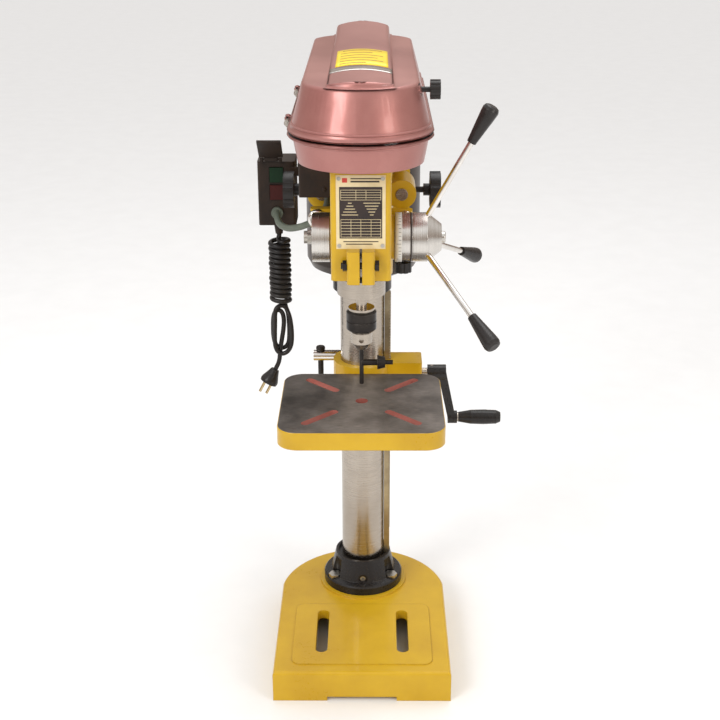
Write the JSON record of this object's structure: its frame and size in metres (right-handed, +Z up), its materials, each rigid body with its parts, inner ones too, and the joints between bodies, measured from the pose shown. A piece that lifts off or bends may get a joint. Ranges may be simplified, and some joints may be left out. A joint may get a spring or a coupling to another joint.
{
  "type": "bench drill press",
  "caption": "Bench drill press: cast base, round steel column, rack-lifted tilting table, belt-driven head under a long cover, sprung quill with feed levers, keyed chuck and rear motor.",
  "frame": {"origin": "on the floor under the base, on the axis of the column", "axes": "+Z up along the column, +X to the operator's right, -Y towards the operator"},
  "size_m": [0.3446, 0.5294, 0.8177],
  "materials": {
    "yellow_enamel": "glossy enamel over cast iron",
    "rose_enamel": "metallic enamel on pressed steel",
    "black_enamel": "satin black enamel",
    "motor_enamel": "satin dark brown enamel",
    "ground_steel": "ground round, fine lines across the axis",
    "rack_steel": "machined, lightly oiled",
    "table_iron": "machined top, painted rim",
    "blackened": "blackened",
    "bright_chrome": "polished",
    "zinc": "zinc plated",
    "bearing_steel": "ground",
    "pulley_alloy": "turned",
    "belt_rubber": "matt",
    "bumper_rubber": "matt",
    "black_plastic": "moulded, satin gloss",
    "switch_plastic": "moulded, fine texture",
    "dial_black": "black with a white scale",
    "green_plastic": "moulded",
    "red_plastic": "moulded",
    "plate_print": "printed sheet",
    "lead_jacket": "grey-green jacket",
    "cord_jacket": "black jacket",
    "windings": "laminations"
  },
  "bodies": {
    "stand": {"base": "yellow_enamel", "column": "ground_steel", "column_flange": "black_enamel", "column_fasteners": "zinc", "rack_ring": "blackened", "head_casting": "yellow_enamel", "head_fasteners": "zinc", "nameplate": "plate_print", "spring_cup": "bright_chrome", "return_spring": "bearing_steel", "pulley_bearings": "bearing_steel", "v_belt": "belt_rubber", "belt_cover_pan": "rose_enamel", "lid_hinges": "zinc", "switch_box": "switch_plastic", "junction_box": "switch_plastic", "motor_lead": "lead_jacket", "power_cord": "cord_jacket", "cord_hank": "cord_jacket", "plug": "black_plastic"},
    "rack_swivel": {"rack": "rack_steel"},
    "table_carrier": {"table_bracket": "yellow_enamel", "bracket_fasteners": "zinc"},
    "lift_gear_body": {"lift_gear": "bearing_steel"},
    "crank": {"crank_shaft": "bearing_steel", "crank_arm": "black_enamel"},
    "crank_handle": {"crank_grip": "black_plastic"},
    "clamp_screw": {"bracket_clamp_screw": "bright_chrome"},
    "clamp_bar": {"bracket_clamp_bar": "blackened"},
    "tilting_table": {"table": "table_iron"},
    "quill_body": {"quill": "ground_steel", "quill_bumper": "bumper_rubber"},
    "feed_spider": {"feed_shaft": "bearing_steel", "feed_hub": "bright_chrome", "feed_levers": "bright_chrome", "feed_lever_grips": "black_plastic"},
    "depth_scale": {"depth_ring": "dial_black"},
    "depth_knob": {"depth_lock_knob": "black_plastic"},
    "motor_carriage": {"motor_housing": "motor_enamel", "stator": "windings", "fan_cover": "motor_enamel", "motor_plate": "yellow_enamel", "motor_slide_bars": "ground_steel"},
    "motor_rotor": {"rotor": "windings", "motor_pulley": "pulley_alloy"},
    "driven_pulley": {"spindle_pulley": "pulley_alloy"},
    "spindle_body": {"spindle": "bearing_steel", "chuck_body": "ground_steel", "chuck_key": "blackened"},
    "chuck_ring": {"chuck_sleeve": "blackened"},
    "jaw_1": {"chuck_jaw_1": "bearing_steel"},
    "jaw_2": {"chuck_jaw_2": "bearing_steel"},
    "jaw_3": {"chuck_jaw_3": "bearing_steel"},
    "slide_lock_right": {"slide_lock_knob_right": "black_plastic"},
    "slide_lock_left": {"slide_lock_knob_left": "black_plastic"},
    "cover_lid": {"belt_cover_lid": "rose_enamel"},
    "cover_knob": {"lid_knob": "black_plastic"},
    "flap": {"switch_flap": "switch_plastic"},
    "start": {"start_button": "green_plastic"},
    "stop": {"stop_button": "red_plastic"}
  },
  "joints": [
    {"name": "table_swing", "type": "hinge", "parent": "stand", "child": "rack_swivel", "pos_m": [0, 0, 0.245], "axis": [0, 0, 1], "range_deg": [-20, 90]},
    {"name": "table_lift", "type": "slide", "parent": "rack_swivel", "child": "table_carrier", "axis": [0, 0, -1], "range_m": [0, 0.225]},
    {"name": "crank_turn", "type": "hinge", "parent": "table_carrier", "child": "crank", "pos_m": [0.06, 0, 0.373], "axis": [1, 0, 0], "range_deg": [-20700, 10]},
    {"name": "lift_gear_turn", "type": "hinge", "parent": "table_carrier", "child": "lift_gear_body", "pos_m": [0.04555, 0, 0.3605], "axis": [0, 1, 0], "range_deg": [-5, 1725]},
    {"name": "crank_grip_spin", "type": "hinge", "parent": "crank", "child": "crank_handle", "pos_m": [0.165, 0, 0.305], "axis": [1, 0, 0], "continuous": true},
    {"name": "clamp_screw_turn", "type": "hinge", "parent": "table_carrier", "child": "clamp_screw", "pos_m": [-0.04, 0.049, 0.379], "axis": [1, 0, 0], "range_deg": [-30, 60]},
    {"name": "clamp_bar_slide", "type": "slide", "parent": "clamp_screw", "child": "clamp_bar", "axis": [0, 0, 1], "range_m": [0, 0.05]},
    {"name": "table_tilt", "type": "hinge", "parent": "table_carrier", "child": "tilting_table", "pos_m": [0, -0.07, 0.35], "axis": [0, -1, 0], "range_deg": [-45, 40]},
    {"name": "quill_feed", "type": "slide", "parent": "stand", "child": "quill_body", "axis": [0, 0, -1], "range_m": [0, 0.042], "stiffness_N_per_m": 260, "springref_m": -0.12},
    {"name": "feed_turn", "type": "hinge", "parent": "stand", "child": "feed_spider", "pos_m": [0.06, -0.1025, 0.598], "axis": [1, 0, 0], "range_deg": [-0.5, 230]},
    {"name": "depth_ring_turn", "type": "hinge", "parent": "feed_spider", "child": "depth_scale", "pos_m": [0.05, -0.1025, 0.598], "axis": [1, 0, 0], "range_deg": [-30, 30]},
    {"name": "depth_knob_turn", "type": "hinge", "parent": "depth_scale", "child": "depth_knob", "pos_m": [0.0525, -0.1025, 0.56], "axis": [0, 0, 1], "range_deg": [0, 360]},
    {"name": "motor_slide", "type": "slide", "parent": "stand", "child": "motor_carriage", "axis": [0, 1, 0], "range_m": [-0.012, 0]},
    {"name": "motor_spin", "type": "hinge", "parent": "motor_carriage", "child": "motor_rotor", "pos_m": [0, 0.2, 0.7], "axis": [0, 0, 1], "continuous": true},
    {"name": "pulley_spin", "type": "hinge", "parent": "stand", "child": "driven_pulley", "pos_m": [0, -0.135, 0.74], "axis": [0, 0, 1], "continuous": true},
    {"name": "spindle_spin", "type": "hinge", "parent": "quill_body", "child": "spindle_body", "pos_m": [0, -0.135, 0.6], "axis": [0, 0, 1], "continuous": true},
    {"name": "sleeve_turn", "type": "hinge", "parent": "spindle_body", "child": "chuck_ring", "pos_m": [0, -0.135, 0.5], "axis": [0, 0, 1], "range_deg": [0, 360]},
    {"name": "jaw_1_slide", "type": "slide", "parent": "spindle_body", "child": "jaw_1", "axis": [0, 0.1736, 0.9848], "range_m": [0, 0.003]},
    {"name": "jaw_2_slide", "type": "slide", "parent": "spindle_body", "child": "jaw_2", "axis": [-0.1504, -0.0868, 0.9848], "range_m": [0, 0.003]},
    {"name": "jaw_3_slide", "type": "slide", "parent": "spindle_body", "child": "jaw_3", "axis": [0.1504, -0.0868, 0.9848], "range_m": [0, 0.003]},
    {"name": "slide_lock_right_turn", "type": "hinge", "parent": "stand", "child": "slide_lock_right", "pos_m": [0.08, 0.005, 0.632], "axis": [1, 0, 0], "range_deg": [-90, 90]},
    {"name": "slide_lock_left_turn", "type": "hinge", "parent": "stand", "child": "slide_lock_left", "pos_m": [-0.08, 0.005, 0.632], "axis": [1, 0, 0], "range_deg": [-90, 90]},
    {"name": "lid_open", "type": "hinge", "parent": "stand", "child": "cover_lid", "pos_m": [-0.0915, 0, 0.738], "axis": [0, -1, 0], "range_deg": [0, 100]},
    {"name": "lid_knob_turn", "type": "hinge", "parent": "cover_lid", "child": "cover_knob", "pos_m": [0.085, -0.15, 0.79], "axis": [1, 0, 0], "range_deg": [-90, 90]},
    {"name": "flap_close", "type": "hinge", "parent": "stand", "child": "flap", "pos_m": [-0.12, 0.035, 0.666], "axis": [1, 0, 0], "range_deg": [0, 130]},
    {"name": "start_press", "type": "slide", "parent": "stand", "child": "start", "axis": [0, 1, 0], "range_m": [0, 0.002], "stiffness_N_per_m": 900, "springref_m": -0.0005},
    {"name": "stop_press", "type": "slide", "parent": "stand", "child": "stop", "axis": [0, 1, 0], "range_m": [0, 0.002], "stiffness_N_per_m": 900, "springref_m": -0.0005}
  ],
  "couplings": [
    {"joint": "crank_turn", "follows": "table_lift", "rad_per_m": -1600},
    {"joint": "lift_gear_turn", "follows": "table_lift", "rad_per_m": 133.33},
    {"joint": "feed_turn", "follows": "quill_feed", "rad_per_m": 95.238},
    {"joint": "pulley_spin", "follows": "motor_spin", "ratio": 1},
    {"joint": "spindle_spin", "follows": "motor_spin", "ratio": 1},
    {"joint": "jaw_1_slide", "follows": "sleeve_turn", "m_per_rad": 0.00047746},
    {"joint": "jaw_2_slide", "follows": "sleeve_turn", "m_per_rad": 0.00047746},
    {"joint": "jaw_3_slide", "follows": "sleeve_turn", "m_per_rad": 0.00047746}
  ]
}
